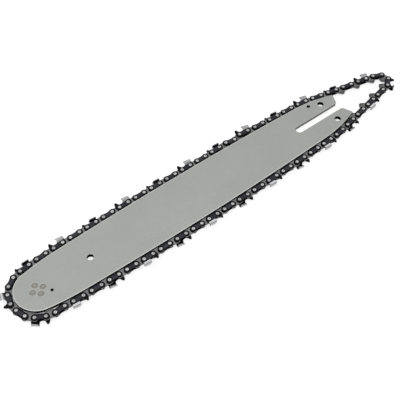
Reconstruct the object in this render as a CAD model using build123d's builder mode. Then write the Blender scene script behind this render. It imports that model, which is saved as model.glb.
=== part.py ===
from build123d import *
from math import acos, atan2, ceil, cos, degrees, pi, radians, sin, sqrt
import os

# Guide bar of a chainsaw with its saw chain, lying flat. X runs along the bar from nose to tail and Z is up.
# The sizes are in millimetres. Places on the bar are measured from the centre of the nose sprocket.

# Saw chain
chain_pitch = 9.525  # half the spacing of the drive links
strap_pitch = 10.2  # between the two rivets of a strap or a cutter
strap_drop = 3.4  # rivet line down to the strap's foot, which rides on the rail
strap_waist = 2.4  # rivet line up to the strap's hollow back
strap_thick = 1.15
drive_end = 3.1  # radius round a drive link's rivets
tang_drop = 8.0  # rivet line down to the tang's tip
tang_tip = 2.4  # width of the tang's tip
tang_round = 0.8
tang_shoulder = 40.0  # degrees below the rivet line where the tang starts
link_gap = 0.05  # between neighbouring layers of the chain
groove_play = 0.1  # on each side of a drive link in the groove
groove_floor_gap = 0.45  # under the tangs

# Chain rivets
rivet_shank = 1.55
rivet_head = 2.1
rivet_proud = 0.5
rivet_fit = 0.03  # in the straps, which are pressed on
rivet_play = 0.12  # in the drive links, which swing

# Cutters
gauge_height = 6.6  # top of the depth gauge over the rivet line
gauge_shoulder = 4.9
gauge_ramp = 1.5
gauge_top = 1.7
gauge_heel = 1.7
tooth_front = 0.4  # from the middle of the cutter back to the cutting corner
tooth_length = 8.2
tooth_top = 7.4
tooth_sink = 0.5  # how far the tooth reaches down into the foot
joggle_gap = 0.7  # rivet's head up to where the tooth leans out
tooth_wall = 1.1
tooth_corner = 1.4
tooth_lap = 0.1  # reach of the top plate past the middle of the chain
kerf_half = 3.3
filing_angle = 30.0
relief_angle = 6.0

# Guide bar
side_plate_thick = 1.2
core_thick = 1.45
rail_chamfer = 0.3
tail_reach = 378.3  # nose centre to the tail's corners
belly_rise = 5.6  # widest half width over the nose radius
belly_share = 0.50575  # the belly's place on the way from the nose centre to the tail's taper
belly_fall = 3.17  # loss of half width from the belly to the start of the tail's taper
shoulder_radius = 270.0
taper_length = 48.1
taper_radius = 160.0
tail_notch = 5.0  # depth of the tail's notch at the slot
tail_round = 1.2

# Slot and holes of the bar
slot_width = 8.3
slot_length = 60.6
slot_chamfer = 1.5
adjuster_radius = 3.3
adjuster_inset = 19.8
adjuster_offset = 13.25
oil_radius = 2.0
oil_inset = 32.3
oil_offset = 18.7
hang_radius = 3.3
hang_place = 56.8
grease_radius = 1.55
grease_place = 9.9
grease_offset = 8.5

# Nose sprocket and its bearing
tooth_count = 9
nose_gap = 0.32  # straps pass the nose this far out
sprocket_tip_gap = 0.6
sprocket_root_gap = 0.7
sprocket_tip_width = 2.6
sprocket_root_width = 5.4
sprocket_tooth_foot = 0.8  # depth of the teeth in the body
cavity_gap = 0.8
race_wall = 0.9  # round the rivets
roller_radius = 1.3
roller_gap = 0.08
roller_spacing = 0.25
nose_rivet_count = 4
nose_rivet_circle = 5.4
nose_rivet_shank = 1.6
nose_rivet_head = 3.1
nose_rivet_sink = 0.8
nose_rivet_fit = 0.03

# Lie of the chain
rail_gap = 0.07  # straps over the rail's tightest bend
chain_hang = 0.43  # the chain's middle line lies this far below the bar's
loop_radius = 9.6
first_rivet = 6.2  # along the chain from the loop's tip
laying_error = 1e-6  # how closely the links are laid
links_in_pattern = 4  # outer links from one cutter to the next of its side
front_cutter_turn = 1  # its place among them, counted from the plain straps
back_cutter_turn = 3
bunch_lift = 2.5  # highest rivet where links bunch up on the upper run
bunch_shares = {17: 0.3, 18: 0.4, 19: 0.65, 20: 1.0, 22: 0.7, 23: 0.4, 24: 0.2}  # by rivet
nose_sag = 1.8  # lowest rivet where links hang off the nose
nose_shares = {54: 0.65, 55: 0.7, 56: 0.9, 57: 1.0}

# Worked out from the sizes above
drive_pitch = 2 * chain_pitch - strap_pitch
half_strap = strap_pitch / 2
half_drive = drive_pitch / 2
drive_thick = core_thick - 2 * groove_play
sprocket_thick = drive_thick
strap_base = drive_thick / 2 + link_gap
strap_face = strap_base + strap_thick
bar_half = core_thick / 2 + side_plate_thick
tooth_angle = pi / tooth_count
pitch_radius = sqrt(
    strap_pitch**2 + drive_pitch**2 + 2 * strap_pitch * drive_pitch * cos(tooth_angle)
) / (2 * sin(tooth_angle))
nose_radius = sqrt(pitch_radius**2 - half_strap**2) - strap_drop - nose_gap - chain_hang
belly_half = nose_radius + belly_rise
taper_start = tail_reach - taper_length
belly_place = belly_share * taper_start
belly_radius = ((taper_start - belly_place) ** 2 + belly_fall**2) / (2 * belly_fall)
tightest_bend = min(taper_radius, shoulder_radius)
tight_ride = sqrt((tightest_bend + strap_drop + rail_gap) ** 2 + half_strap**2) - tightest_bend
ride_height = tight_ride + chain_hang
groove_depth = tang_drop + groove_floor_gap - tight_ride
slot_mouth = tail_reach - tail_notch
slot_end = slot_mouth - slot_length
adjuster_place = tail_reach - adjuster_inset
oil_place = tail_reach - oil_inset
sprocket_tip = nose_radius - sprocket_tip_gap
sprocket_root = sqrt(pitch_radius**2 - half_drive**2) - tang_drop - sprocket_root_gap
race_radius = nose_rivet_circle + nose_rivet_shank + race_wall
roller_circle = race_radius + roller_gap + roller_radius
sprocket_bore = roller_circle + roller_radius + roller_gap
roller_count = int(2 * pi * roller_circle / (2 * roller_radius + roller_spacing))
slack_lifts = {rivet: bunch_lift * share for rivet, share in bunch_shares.items()}
slack_lifts |= {rivet: nose_sag * share for rivet, share in nose_shares.items()}
tooth_back = tooth_front + tooth_length
tooth_root = strap_waist - tooth_sink
tooth_joggle = rivet_head + joggle_gap
gauge_front = -half_strap - strap_drop


def polar(centre, radius, angle):
    """Point at an angle, in radians, on a circle."""
    return Vector(centre.X + radius * cos(angle), centre.Y + radius * sin(angle))


def bearing(start, end):
    """Angle, in radians, of the way from one point to another."""
    return atan2(end.Y - start.Y, end.X - start.X)


def side_circles(nose, grow):
    """Tangent circles of one long side, from tail to nose, with the angle where each one ends.

    The side is grown outwards from the rail. Its nose is a circle round the sprocket's centre.
    """
    origin = Vector(0, 0)
    belly_centre = Vector(belly_place, belly_half - belly_radius)
    taper_angle = acos((taper_start - belly_place) / belly_radius)
    taper_centre = polar(belly_centre, belly_radius - taper_radius, taper_angle)
    shoulder = shoulder_radius + grow
    from_nose = shoulder - nose
    from_belly = belly_radius - shoulder_radius
    apart = (belly_centre - origin).length
    turn = acos((apart**2 + from_nose**2 - from_belly**2) / (2 * apart * from_nose))
    shoulder_centre = polar(origin, from_nose, bearing(origin, belly_centre) + turn)
    return [
        (taper_centre, taper_radius + grow, taper_angle),
        (belly_centre, belly_radius + grow, bearing(belly_centre, shoulder_centre)),
        (shoulder_centre, shoulder, bearing(shoulder_centre, origin)),
        (origin, nose, pi),
    ]


def draw_arc(centre, radius, start_angle, end_angle):
    """Draw an arc between two angles, in radians, in the line that is being built."""
    middle_angle = (start_angle + end_angle) / 2
    ThreePointArc(*(polar(centre, radius, angle) for angle in (start_angle, middle_angle, end_angle)))


def draw_side(circles, start_angle):
    """Draw one long side as tangent arcs, from the tail to the nose."""
    for centre, radius, end_angle in circles:
        draw_arc(centre, radius, start_angle, end_angle)
        start_angle = end_angle


def angle_at(circle, x):
    """Angle of the upper point of a circle that lies at x."""
    centre, radius, _ = circle
    return acos((x - centre.X) / radius)


def draw_tail(corner):
    """Draw half of the tail, from its corner round the slot to the slot's inner end."""
    half_slot = slot_width / 2
    notch_way = (corner - Vector(slot_mouth, half_slot)).normalized()
    Polyline(
        corner,
        Vector(slot_mouth, half_slot) + notch_way * slot_chamfer,
        (slot_mouth - slot_chamfer, half_slot),
        (slot_end + half_slot, half_slot),
    )
    draw_arc(Vector(slot_end + half_slot, 0), half_slot, pi / 2, pi)


plate_circles = side_circles(nose_radius, 0)
corner_angle = angle_at(plate_circles[0], tail_reach)
tail_corner = polar(plate_circles[0][0], plate_circles[0][1], corner_angle)

with BuildSketch() as plate_outline:
    with BuildLine():
        draw_side(plate_circles, corner_angle)
        draw_tail(tail_corner)
        mirror(about=Plane.XZ)
    make_face()
    corners = plate_outline.vertices().group_by(Axis.X)[-1]
    fillet(corners, tail_round)

# The core keeps the plates' outline less the groove, and makes room for the sprocket.
core_circles = side_circles(nose_radius - groove_depth, -groove_depth)
core_angle = angle_at(core_circles[0], tail_reach)

with BuildSketch() as core_outline:
    with BuildLine():
        draw_side(core_circles, core_angle)
        Line(polar(core_circles[0][0], core_circles[0][1], core_angle), (tail_reach, 0))
        mirror(about=Plane.XZ)
    make_face()
    add(plate_outline.sketch, mode=Mode.INTERSECT)
    Circle(sprocket_tip + cavity_gap, mode=Mode.SUBTRACT)
    with Locations((hang_place, 0)):
        Circle(hang_radius, mode=Mode.SUBTRACT)
    with Locations((adjuster_place, adjuster_offset), (adjuster_place, -adjuster_offset)):
        Circle(adjuster_radius, mode=Mode.SUBTRACT)
    with Locations((oil_place, oil_offset + groove_depth / 2), (oil_place, -oil_offset - groove_depth / 2)):
        SlotOverall(groove_depth + 2 * oil_radius, 2 * oil_radius, rotation=90, mode=Mode.SUBTRACT)

with BuildPart() as core_plate:
    add(core_outline.sketch)
    extrude(amount=core_thick / 2, both=True)

with BuildPart() as front_side_plate:
    with BuildSketch(Plane.XY.offset(core_thick / 2)):
        add(plate_outline.sketch)
        with Locations((hang_place, 0)):
            Circle(hang_radius, mode=Mode.SUBTRACT)
        with Locations((adjuster_place, adjuster_offset), (adjuster_place, -adjuster_offset)):
            Circle(adjuster_radius, mode=Mode.SUBTRACT)
        with Locations((oil_place, oil_offset)):
            Circle(oil_radius, mode=Mode.SUBTRACT)
        with Locations((grease_place, -grease_offset)):
            Circle(grease_radius, mode=Mode.SUBTRACT)
    extrude(amount=side_plate_thick)
    outer_face = front_side_plate.faces().sort_by(Axis.Z)[-1]
    chamfer(outer_face.outer_wire().edges(), rail_chamfer)
    sink_angle = 2 * degrees(atan2(nose_rivet_head - nose_rivet_shank, nose_rivet_sink))
    with Locations(Plane.XY.offset(bar_half)):
        with PolarLocations(nose_rivet_circle, nose_rivet_count):
            CounterSinkHole(
                nose_rivet_shank + nose_rivet_fit,
                nose_rivet_head + nose_rivet_fit,
                counter_sink_angle=sink_angle,
            )

# The bar can be turned over, so the back plate is the front plate turned about the bar's length.
with BuildPart() as back_side_plate:
    add(front_side_plate.part, rotation=(180, 0, 0))

with BuildPart() as bearing_race:
    with BuildSketch(Plane.XY.offset(-core_thick / 2)):
        Circle(race_radius)
        with PolarLocations(nose_rivet_circle, nose_rivet_count):
            Circle(nose_rivet_shank + nose_rivet_fit, mode=Mode.SUBTRACT)
    extrude(amount=core_thick)

with BuildPart() as bearing_rollers:
    with PolarLocations(roller_circle, roller_count):
        Cylinder(roller_radius, sprocket_thick)

with BuildPart() as nose_rivets:
    with PolarLocations(nose_rivet_circle, nose_rivet_count):
        Cylinder(nose_rivet_shank, 2 * (bar_half - nose_rivet_sink))
    for face_side in (1, -1):
        with Locations(Plane.XY.offset(face_side * (bar_half - nose_rivet_sink / 2))):
            with PolarLocations(nose_rivet_circle, nose_rivet_count):
                Cone(
                    nose_rivet_shank,
                    nose_rivet_head,
                    nose_rivet_sink,
                    rotation=(0, 0, 0) if face_side > 0 else (180, 0, 0),
                )


def straight(start, end):
    """Straight stretch of the chain's line: its length, and its place and outward way along it."""
    length = (end - start).length
    way = (end - start).normalized()
    outward = Vector(way.Y, -way.X)
    return length, lambda along: (start + way * along, outward)


def bend(centre, radius, start_angle, end_angle):
    """Round stretch of the chain's line: its length, and its place and outward way along it."""

    def place(along):
        outward = polar(Vector(0, 0), 1, start_angle + along / radius)
        return centre + outward * radius, outward

    return radius * (end_angle - start_angle), place


def half_loop(tip):
    """Stretches of the chain's rivet line from the loop's tip, over the upper rail, to the nose."""
    circles = side_circles(pitch_radius, ride_height)
    taper_centre, taper, _ = circles[0]
    tip_centre = Vector(tip, 0)
    apart = (taper_centre - tip_centre).length
    leave = bearing(tip_centre, taper_centre) - acos((loop_radius - taper) / apart)
    leave %= 2 * pi
    stretches = [
        bend(tip_centre, loop_radius, 0, leave),
        straight(polar(tip_centre, loop_radius, leave), polar(taper_centre, taper, leave)),
    ]
    for centre, radius, end_angle in circles:
        stretches.append(bend(centre, radius, leave, end_angle))
        leave = end_angle
    return stretches


def loop_place(stretches, along):
    """Place and outward way on the closed rivet line, whose lower half mirrors the upper one."""
    half = sum(length for length, _ in stretches)
    along %= 2 * half
    side = 1 if along <= half else -1
    along = along if along <= half else 2 * half - along
    for length, place in stretches[:-1]:
        if along <= length:
            break
        along -= length
    else:
        place = stretches[-1][1]
    point, outward = place(along)
    return Vector(point.X, side * point.Y), Vector(outward.X, side * outward.Y)


def lay_rivets(stretches, count):
    """Step round the line from rivet to rivet. Returns the rivets and how far the last step ends."""
    along = first_rivet
    rivets = []
    for number in range(1, count + 2):
        lift = slack_lifts.get(number, 0)
        if rivets:
            step = strap_pitch if number % 2 == 0 else drive_pitch
            low, high = along + step / 2, along + 2 * step
            while high - low > laying_error:
                along = (low + high) / 2
                point, outward = loop_place(stretches, along)
                if (point + outward * lift - rivets[-1]).length < step:
                    low = along
                else:
                    high = along
        point, outward = loop_place(stretches, along)
        rivets.append(point + outward * lift)
    return rivets[:-1], along - first_rivet


def close_chain():
    """Lay the shortest chain whose loop reaches at least as far past the tail as the taper is long."""
    pattern_length = 2 * chain_pitch * links_in_pattern
    shortest = 2 * sum(length for length, _ in half_loop(tail_reach + taper_length))
    count = 2 * links_in_pattern * ceil(shortest / pattern_length)
    near, far = tail_reach, tail_reach + taper_length + pattern_length
    while far - near > laying_error:
        tip = (near + far) / 2
        stretches = half_loop(tip)
        rivets, walked = lay_rivets(stretches, count)
        if walked > 2 * sum(length for length, _ in stretches):
            near = tip
        else:
            far = tip
    return rivets


def link_place(rivets, number):
    """Where the link from one rivet to the next lies: X points back along the chain and Y outwards."""
    start, end = rivets[number], rivets[(number + 1) % len(rivets)]
    middle = (start + end) * 0.5
    return Location((middle.X, middle.Y, 0), (0, 0, degrees(bearing(end, start))))


def run_of(point):
    """Name of the stretch of chain that a point lies in."""
    if point.X < 0:
        return "nose"
    if point.X > tail_reach:
        return "tail_loop"
    side = "upper" if point.Y > 0 else "lower"
    end = "nose" if point.X < tail_reach / 2 else "tail"
    return f"{side}_{end}_half"


# The links are drawn with the rivet line on X, the leading rivet at -X and the cutting side at +Y.
leading_rivet = Vector(-half_strap, 0)
trailing_rivet = Vector(half_strap, 0)

with BuildPart() as tie_strap:
    with BuildSketch(Plane.XY.offset(strap_base)):
        with BuildLine():
            Line((-half_strap, -strap_drop), (half_strap, -strap_drop))
            draw_arc(trailing_rivet, strap_drop, -pi / 2, pi / 2)
            ThreePointArc((half_strap, strap_drop), (0, strap_waist), (-half_strap, strap_drop))
            draw_arc(leading_rivet, strap_drop, pi / 2, 3 * pi / 2)
        make_face()
        with Locations(leading_rivet, trailing_rivet):
            Circle(rivet_shank + rivet_fit, mode=Mode.SUBTRACT)
    extrude(amount=strap_thick)

with BuildPart() as drive_link:
    with BuildSketch(Plane.XY.offset(-drive_thick / 2)) as drive_outline:
        with BuildLine():
            end_centre = Vector(half_drive, 0)
            shoulder_angle = -radians(tang_shoulder)
            flank_start = polar(end_centre, drive_end, shoulder_angle)
            Line((0, drive_end), (half_drive, drive_end))
            draw_arc(end_centre, drive_end, pi / 2, shoulder_angle)
            Polyline(flank_start, (tang_tip / 2, -tang_drop), (0, -tang_drop))
            mirror(about=Plane.YZ)
        make_face()
        fillet(drive_outline.vertices().group_by(Axis.Y)[0], tang_round)
        with Locations((-half_drive, 0), (half_drive, 0)):
            Circle(rivet_shank + rivet_play, mode=Mode.SUBTRACT)
    extrude(amount=drive_thick)

with BuildPart() as chain_rivet:
    Cylinder(rivet_shank, 2 * strap_face)
    for face_side in (1, -1):
        with Locations((0, 0, face_side * (strap_face + rivet_proud / 2))):
            Cylinder(rivet_head, rivet_proud)

with BuildPart() as front_cutter:
    # The tooth stands out to the kerf and bends over the chain as its top plate.
    with BuildSketch(Plane.YZ.offset(tooth_front)):
        with BuildLine():
            # The joggle leans at 45 degrees, so its inner corners lie higher than its outer ones.
            joggle_top = tooth_joggle + kerf_half - strap_face
            inner_rise = tooth_wall * (sqrt(2) - 1)
            Polyline(
                (tooth_top, kerf_half - tooth_corner),
                (tooth_top, -tooth_lap),
                (tooth_top - tooth_wall, -tooth_lap),
                (tooth_top - tooth_wall, kerf_half - tooth_wall),
                (joggle_top + inner_rise, kerf_half - tooth_wall),
                (tooth_joggle + inner_rise, strap_base),
                (tooth_root, strap_base),
                (tooth_root, strap_face),
                (tooth_joggle, strap_face),
                (joggle_top, kerf_half),
                (tooth_top - tooth_corner, kerf_half),
            )
            corner_centre = Vector(tooth_top - tooth_corner, kerf_half - tooth_corner)
            draw_arc(corner_centre, tooth_corner, pi / 2, 0)
        make_face()
    extrude(amount=tooth_length)
    filing = radians(filing_angle)
    split(
        bisect_by=Plane((tooth_front, 0, kerf_half), z_dir=(cos(filing), 0, sin(filing))),
        keep=Keep.TOP,
    )
    relief = radians(relief_angle)
    split(
        bisect_by=Plane((tooth_front, tooth_top, 0), z_dir=(sin(relief), cos(relief), 0)),
        keep=Keep.BOTTOM,
    )
    # The foot carries the two rivets and the depth gauge.
    with BuildSketch(Plane.XY.offset(strap_base)):
        with BuildLine():
            Line((half_strap, -strap_drop), (-half_strap, -strap_drop))
            draw_arc(leading_rivet, strap_drop, -pi / 2, -pi)
            Polyline(
                (gauge_front, 0),
                (gauge_front, gauge_shoulder),
                (gauge_front + gauge_ramp, gauge_height),
                (gauge_front + gauge_ramp + gauge_top, gauge_height),
                (gauge_heel - half_strap, strap_waist),
                (tooth_front, strap_waist),
                (tooth_back, strap_waist),
                (half_strap + strap_drop, 0),
            )
            draw_arc(trailing_rivet, strap_drop, 0, -pi / 2)
        make_face()
    extrude(amount=strap_thick)
    with Locations(leading_rivet, trailing_rivet):
        Hole(rivet_shank + rivet_fit)

with BuildPart() as back_cutter:
    mirror(front_cutter.part, about=Plane.XY)

rivets = [rivet - Vector(0, chain_hang) for rivet in close_chain()]
runs = ("tail_loop", "upper_tail_half", "upper_nose_half", "nose", "lower_nose_half", "lower_tail_half")
strap_places = {run: [] for run in runs}
drive_places = {run: [] for run in runs}
rivet_places = {run: [] for run in runs}
cutter_places = {"front": [], "back": []}
back_strap = Location((0, 0, -strap_base - strap_face))

for number, rivet in enumerate(rivets):
    rivet_places[run_of(rivet)].append(Location((rivet.X, rivet.Y, 0)))
    place = link_place(rivets, number)
    run = run_of(place.position)
    outer_link = number // 2
    if number % 2 == 1:
        drive_places[run].append(place)
    elif outer_link % links_in_pattern == front_cutter_turn:
        cutter_places["front"].append(place)
        strap_places[run].append(place * back_strap)
    elif outer_link % links_in_pattern == back_cutter_turn:
        cutter_places["back"].append(place)
        strap_places[run].append(place)
    else:
        strap_places[run].extend([place, place * back_strap])

# The sprocket stands with a gap between two teeth at the drive link nearest to the nose's tip.
nose_link = min(drive_places["nose"], key=lambda place: abs(place.position.Y))
first_tooth = degrees(bearing(Vector(0, 0), nose_link.position) + tooth_angle)

with BuildPart() as nose_sprocket:
    with BuildSketch(Plane.XY.offset(-sprocket_thick / 2)):
        Circle(sprocket_root)
        tooth_height = sprocket_tip - sprocket_root + sprocket_tooth_foot
        tooth_slope = degrees(atan2(tooth_height, (sprocket_root_width - sprocket_tip_width) / 2))
        with PolarLocations(sprocket_tip - tooth_height / 2, tooth_count, first_tooth):
            Trapezoid(sprocket_root_width, tooth_height, tooth_slope, rotation=-90)
        Circle(sprocket_bore, mode=Mode.SUBTRACT)
    extrude(amount=sprocket_thick)

pieces = {
    "front_side_plate": front_side_plate,
    "back_side_plate": back_side_plate,
    "core_plate": core_plate,
    "nose_sprocket": nose_sprocket,
    "bearing_race": bearing_race,
    "bearing_rollers": bearing_rollers,
    "nose_rivets": nose_rivets,
}

for kind, master, places in (
    ("tie_straps", tie_strap, strap_places),
    ("drive_links", drive_link, drive_places),
    ("chain_rivets", chain_rivet, rivet_places),
):
    for run in runs:
        with BuildPart() as link_group:
            with Locations(*places[run]):
                add(master.part)
        pieces[f"{kind}_{run}"] = link_group

for side, master in (("front", front_cutter), ("back", back_cutter)):
    for number, place in enumerate(cutter_places[side], 1):
        with BuildPart() as cutter:
            with Locations(place):
                add(master.part)
        pieces[f"{side}_cutter_{number:02d}"] = cutter

# The part lies on the ground with the middle of its footprint at the origin.
box = Compound([piece.part for piece in pieces.values()]).bounding_box()
home = Location((-box.center().X, -box.center().Y, -box.min.Z))

os.makedirs("parts", exist_ok=True)
for name, piece in pieces.items():
    part = piece.part.moved(home)
    part.label = name
    export_step(part, f"parts/{name}.step")
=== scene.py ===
import logging
import math
from collections.abc import Callable, Iterable
from dataclasses import dataclass, field, replace
from enum import Enum

import bpy
from mathutils import Matrix, Vector


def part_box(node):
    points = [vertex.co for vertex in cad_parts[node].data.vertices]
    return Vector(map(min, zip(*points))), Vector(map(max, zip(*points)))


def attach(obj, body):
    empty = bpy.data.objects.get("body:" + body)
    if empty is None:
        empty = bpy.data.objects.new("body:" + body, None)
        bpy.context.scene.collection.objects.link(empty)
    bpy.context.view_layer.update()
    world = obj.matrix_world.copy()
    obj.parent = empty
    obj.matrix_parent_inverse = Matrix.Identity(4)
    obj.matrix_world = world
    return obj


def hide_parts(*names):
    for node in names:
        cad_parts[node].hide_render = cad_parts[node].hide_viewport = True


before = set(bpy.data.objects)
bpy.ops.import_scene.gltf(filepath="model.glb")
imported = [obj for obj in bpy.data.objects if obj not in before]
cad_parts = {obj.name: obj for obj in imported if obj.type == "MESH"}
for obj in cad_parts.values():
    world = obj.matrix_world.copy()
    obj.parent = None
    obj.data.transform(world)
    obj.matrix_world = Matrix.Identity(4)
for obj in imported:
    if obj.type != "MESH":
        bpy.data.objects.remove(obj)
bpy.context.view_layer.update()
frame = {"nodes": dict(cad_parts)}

# Looks of a chainsaw guide bar with its saw chain. Lengths are in metres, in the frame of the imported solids.
MM = 0.001
BODY = "root"
WHITE = (1.0, 1.0, 1.0)
MIX_SHARE, MIX_FIRST, MIX_SECOND, MIX_COLOUR = 0, 6, 7, 2  # sockets of a mix node that blends colours
OPEN_SAMPLES = 16  # rays that find out how open a surface lies
PLAN_SPAN = 40 * MM  # side of the square map of a link's own plan, with the link's middle at its centre
BLANK_RADIUS = 10 * MM  # disc that a plate's outline is pulled out of
DRILL_DEPTH = 40 * MM  # more than any piece is thick
TOUCH = 0.01 * MM  # a face nearer than this to a height lies at it
LEANS, FACES, SQUARE = 0.3, 0.6, 0.9  # least share of an axis in the normal of a face that looks that way
SHARP_ANGLE = 50.0  # edges sharper than this many degrees are broken
SOFT_ANGLE = 32.0  # edges of links that are flatter than this many degrees are shaded smooth
Mesh = bpy.types.Object
Socket = bpy.types.NodeSocket
Colour = tuple[float, float, float]
Place = tuple[float, float, float]
Band = tuple[float, float]  # start and end of a range
Step = tuple[float, float]  # radius and height on a turned shape
FaceTest = Callable[[Vector, Vector], bool]
log = logging.getLogger("guide_bar")


class LinkKind(Enum):
    """What joins two neighbouring rivets of the chain."""

    TIE = "tie"
    DRIVE = "drive"
    FRONT_CUTTER = "front_cutter"
    BACK_CUTTER = "back_cutter"


class Run(Enum):
    """Stretch of the chain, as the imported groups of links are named."""

    TAIL_LOOP = "tail_loop"
    UPPER_TAIL = "upper_tail_half"
    UPPER_NOSE = "upper_nose_half"
    NOSE = "nose"
    LOWER_NOSE = "lower_nose_half"
    LOWER_TAIL = "lower_tail_half"


class Grip(Enum):
    """What a pick on the bench takes hold of."""

    VERT = "VERT"
    FACE = "FACE"


class CutterFinish(Enum):
    """Finishes of a cutter, by the number of their slot on the piece."""

    GAUGE = 0
    CHROME = 1
    TOP = 2
    # faces inside the tooth, drawn near black as painted shade
    INSIDE = 3
    FILED = 4


class Bench:
    """Hand tools for one mesh in edit mode."""

    def __init__(self, piece: Mesh) -> None:
        """Lay a piece on the bench, alone in the selection."""
        self.piece = piece
        self._hold()

    @classmethod
    def disc(cls, name: str, corners: int, radius: float, height: float) -> "Bench":
        """Start from a flat filled disc.

        Args:
            name: Name of the new piece.
            corners: Number of corners round the disc.
            radius: Radius of the disc.
            height: Height of the disc.

        Returns:
            A bench with the disc on it.
        """
        bpy.ops.object.select_all(action="DESELECT")
        bpy.ops.mesh.primitive_circle_add(
            vertices=corners, radius=radius, fill_type="NGON", location=(0, 0, height)
        )
        bpy.ops.object.transform_apply(location=True, rotation=True, scale=True)
        piece = bpy.context.active_object
        piece.name = name
        return cls(piece)

    def _hold(self) -> None:
        """Make the piece the only selected and active object, in object mode."""
        if bpy.context.object and bpy.context.object.mode != "OBJECT":
            bpy.ops.object.mode_set(mode="OBJECT")
        bpy.ops.object.select_all(action="DESELECT")
        self.piece.select_set(True)
        bpy.context.view_layer.objects.active = self.piece

    def _clear(self, grip: Grip) -> None:
        """Drop the selection in edit mode and go back to object mode.

        Args:
            grip: What the next pick takes hold of.
        """
        bpy.ops.object.mode_set(mode="EDIT")
        bpy.ops.mesh.select_mode(type=grip.value)
        bpy.ops.mesh.select_all(action="DESELECT")
        bpy.ops.object.mode_set(mode="OBJECT")

    def pick_faces(self, test: FaceTest) -> "Bench":
        """Select faces by their centre and normal.

        Args:
            test: Says whether a face with this centre and normal is taken.

        Returns:
            The bench, in edit mode.
        """
        self._clear(Grip.FACE)
        for face in self.piece.data.polygons:
            face.select = test(face.center, face.normal)
        bpy.ops.object.mode_set(mode="EDIT")
        return self

    def pick_all(self) -> "Bench":
        """Select the whole mesh."""
        return self.pick_faces(lambda centre, normal: True)

    def pick_end(self, side: int, height: float) -> None:
        """Select the level faces at a height that look up, for side 1, or down, for side -1."""
        self.pick_faces(lambda centre, normal: side * normal.z > SQUARE and abs(centre.z - height) < TOUCH)

    def pull(self, corner: int, place: Vector) -> None:
        """Pull one corner of the mesh to a place.

        Args:
            corner: Index of the vertex.
            place: Where it goes.
        """
        self._clear(Grip.VERT)
        vertex = self.piece.data.vertices[corner]
        vertex.select = True
        way = place - vertex.co
        bpy.ops.object.mode_set(mode="EDIT")
        bpy.ops.transform.translate(value=way)
        bpy.ops.object.mode_set(mode="OBJECT")

    def extrude(self, rise: float) -> None:
        """Extrude the selected faces upwards, or downwards where the rise is below 0."""
        bpy.ops.mesh.extrude_region_move(TRANSFORM_OT_translate={"value": (0, 0, rise)})

    def draw_out(self, places: Callable[[list[Vector]], list[Vector]]) -> None:
        """Extrude the selected face and pull its corners to new places. The new face stays selected.

        Args:
            places: Gives the new places of the corners from their old ones.
        """
        self.extrude(0)
        bpy.ops.object.mode_set(mode="OBJECT")
        corners = [vertex.index for vertex in self.piece.data.vertices if vertex.select]
        starts = [self.piece.data.vertices[corner].co.copy() for corner in corners]
        for corner, place in zip(corners, places(starts)):
            self.pull(corner, place)
        self._clear(Grip.FACE)
        for face in self.piece.data.polygons:
            face.select = set(face.vertices) == set(corners)
        bpy.ops.object.mode_set(mode="EDIT")

    def widen(self, factor: float) -> None:
        """Scale what is selected in the plane of the plates, about the piece's own middle."""
        bpy.ops.transform.resize(value=(factor, factor, 1), center_override=(0, 0, 0))

    def face_outwards(self) -> "Bench":
        """Turn all faces outwards.

        Returns:
            The bench, in object mode.
        """
        self.pick_all()
        bpy.ops.mesh.normals_make_consistent(inside=False)
        bpy.ops.object.mode_set(mode="OBJECT")
        return self

    def finish_faces(self, finish: CutterFinish, test: FaceTest) -> None:
        """Give the faces that a test takes one of the piece's finishes.

        Args:
            finish: The finish.
            test: Says whether a face with this centre and normal is taken.
        """
        self.pick_faces(test)
        self.piece.active_material_index = finish.value
        bpy.ops.object.material_slot_assign()
        bpy.ops.object.mode_set(mode="OBJECT")

    def map_plan(self) -> None:
        """Give the mesh a map of its own plan, so that a finish can follow the link's shape."""
        plan = self.piece.data.uv_layers.new(name="plan")
        for loop, spot in zip(self.piece.data.loops, plan.data):
            corner = self.piece.data.vertices[loop.vertex_index].co
            spot.uv = (0.5 + corner.x / PLAN_SPAN, 0.5 + corner.y / PLAN_SPAN)

    def drill(self, places: Iterable[Vector], radius: float, corners: int) -> None:
        """Drill upright round holes right through.

        Args:
            places: Middles of the holes.
            radius: Radius of the holes.
            corners: Number of corners round a hole.
        """
        for place in places:
            bpy.ops.object.select_all(action="DESELECT")
            bpy.ops.mesh.primitive_cylinder_add(
                vertices=corners, radius=radius, depth=DRILL_DEPTH, location=place
            )
            bit = bpy.context.active_object
            self._hold()
            cut = self.piece.modifiers.new("drill", "BOOLEAN")
            cut.operation = "DIFFERENCE"
            cut.solver = "EXACT"
            cut.object = bit
            bpy.ops.object.modifier_apply(modifier=cut.name)
            bpy.data.objects.remove(bit)

    def break_edges(self, width: float) -> None:
        """Bevel the sharp edges and shade the rest smooth.

        Args:
            width: Width of the bevel.
        """
        self._hold()
        bevel = self.piece.modifiers.new("edges", "BEVEL")
        bevel.width = width
        bevel.limit_method = "ANGLE"
        bevel.angle_limit = math.radians(SHARP_ANGLE)
        bpy.ops.object.modifier_apply(modifier=bevel.name)
        bpy.ops.object.shade_smooth_by_angle(angle=math.radians(SOFT_ANGLE))


def middle_of(node: str) -> Vector:
    """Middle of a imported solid's box."""
    low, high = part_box(node)
    return (low + high) / 2


def at(x: float, y: float) -> Vector:
    """Point in the plane of the plates."""
    return Vector((x, y, 0))


def rivet_pair(pitch: float) -> tuple[Vector, Vector]:
    """Leading and trailing rivet of a link with this pitch."""
    return at(-pitch / 2, 0), at(pitch / 2, 0)


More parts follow.
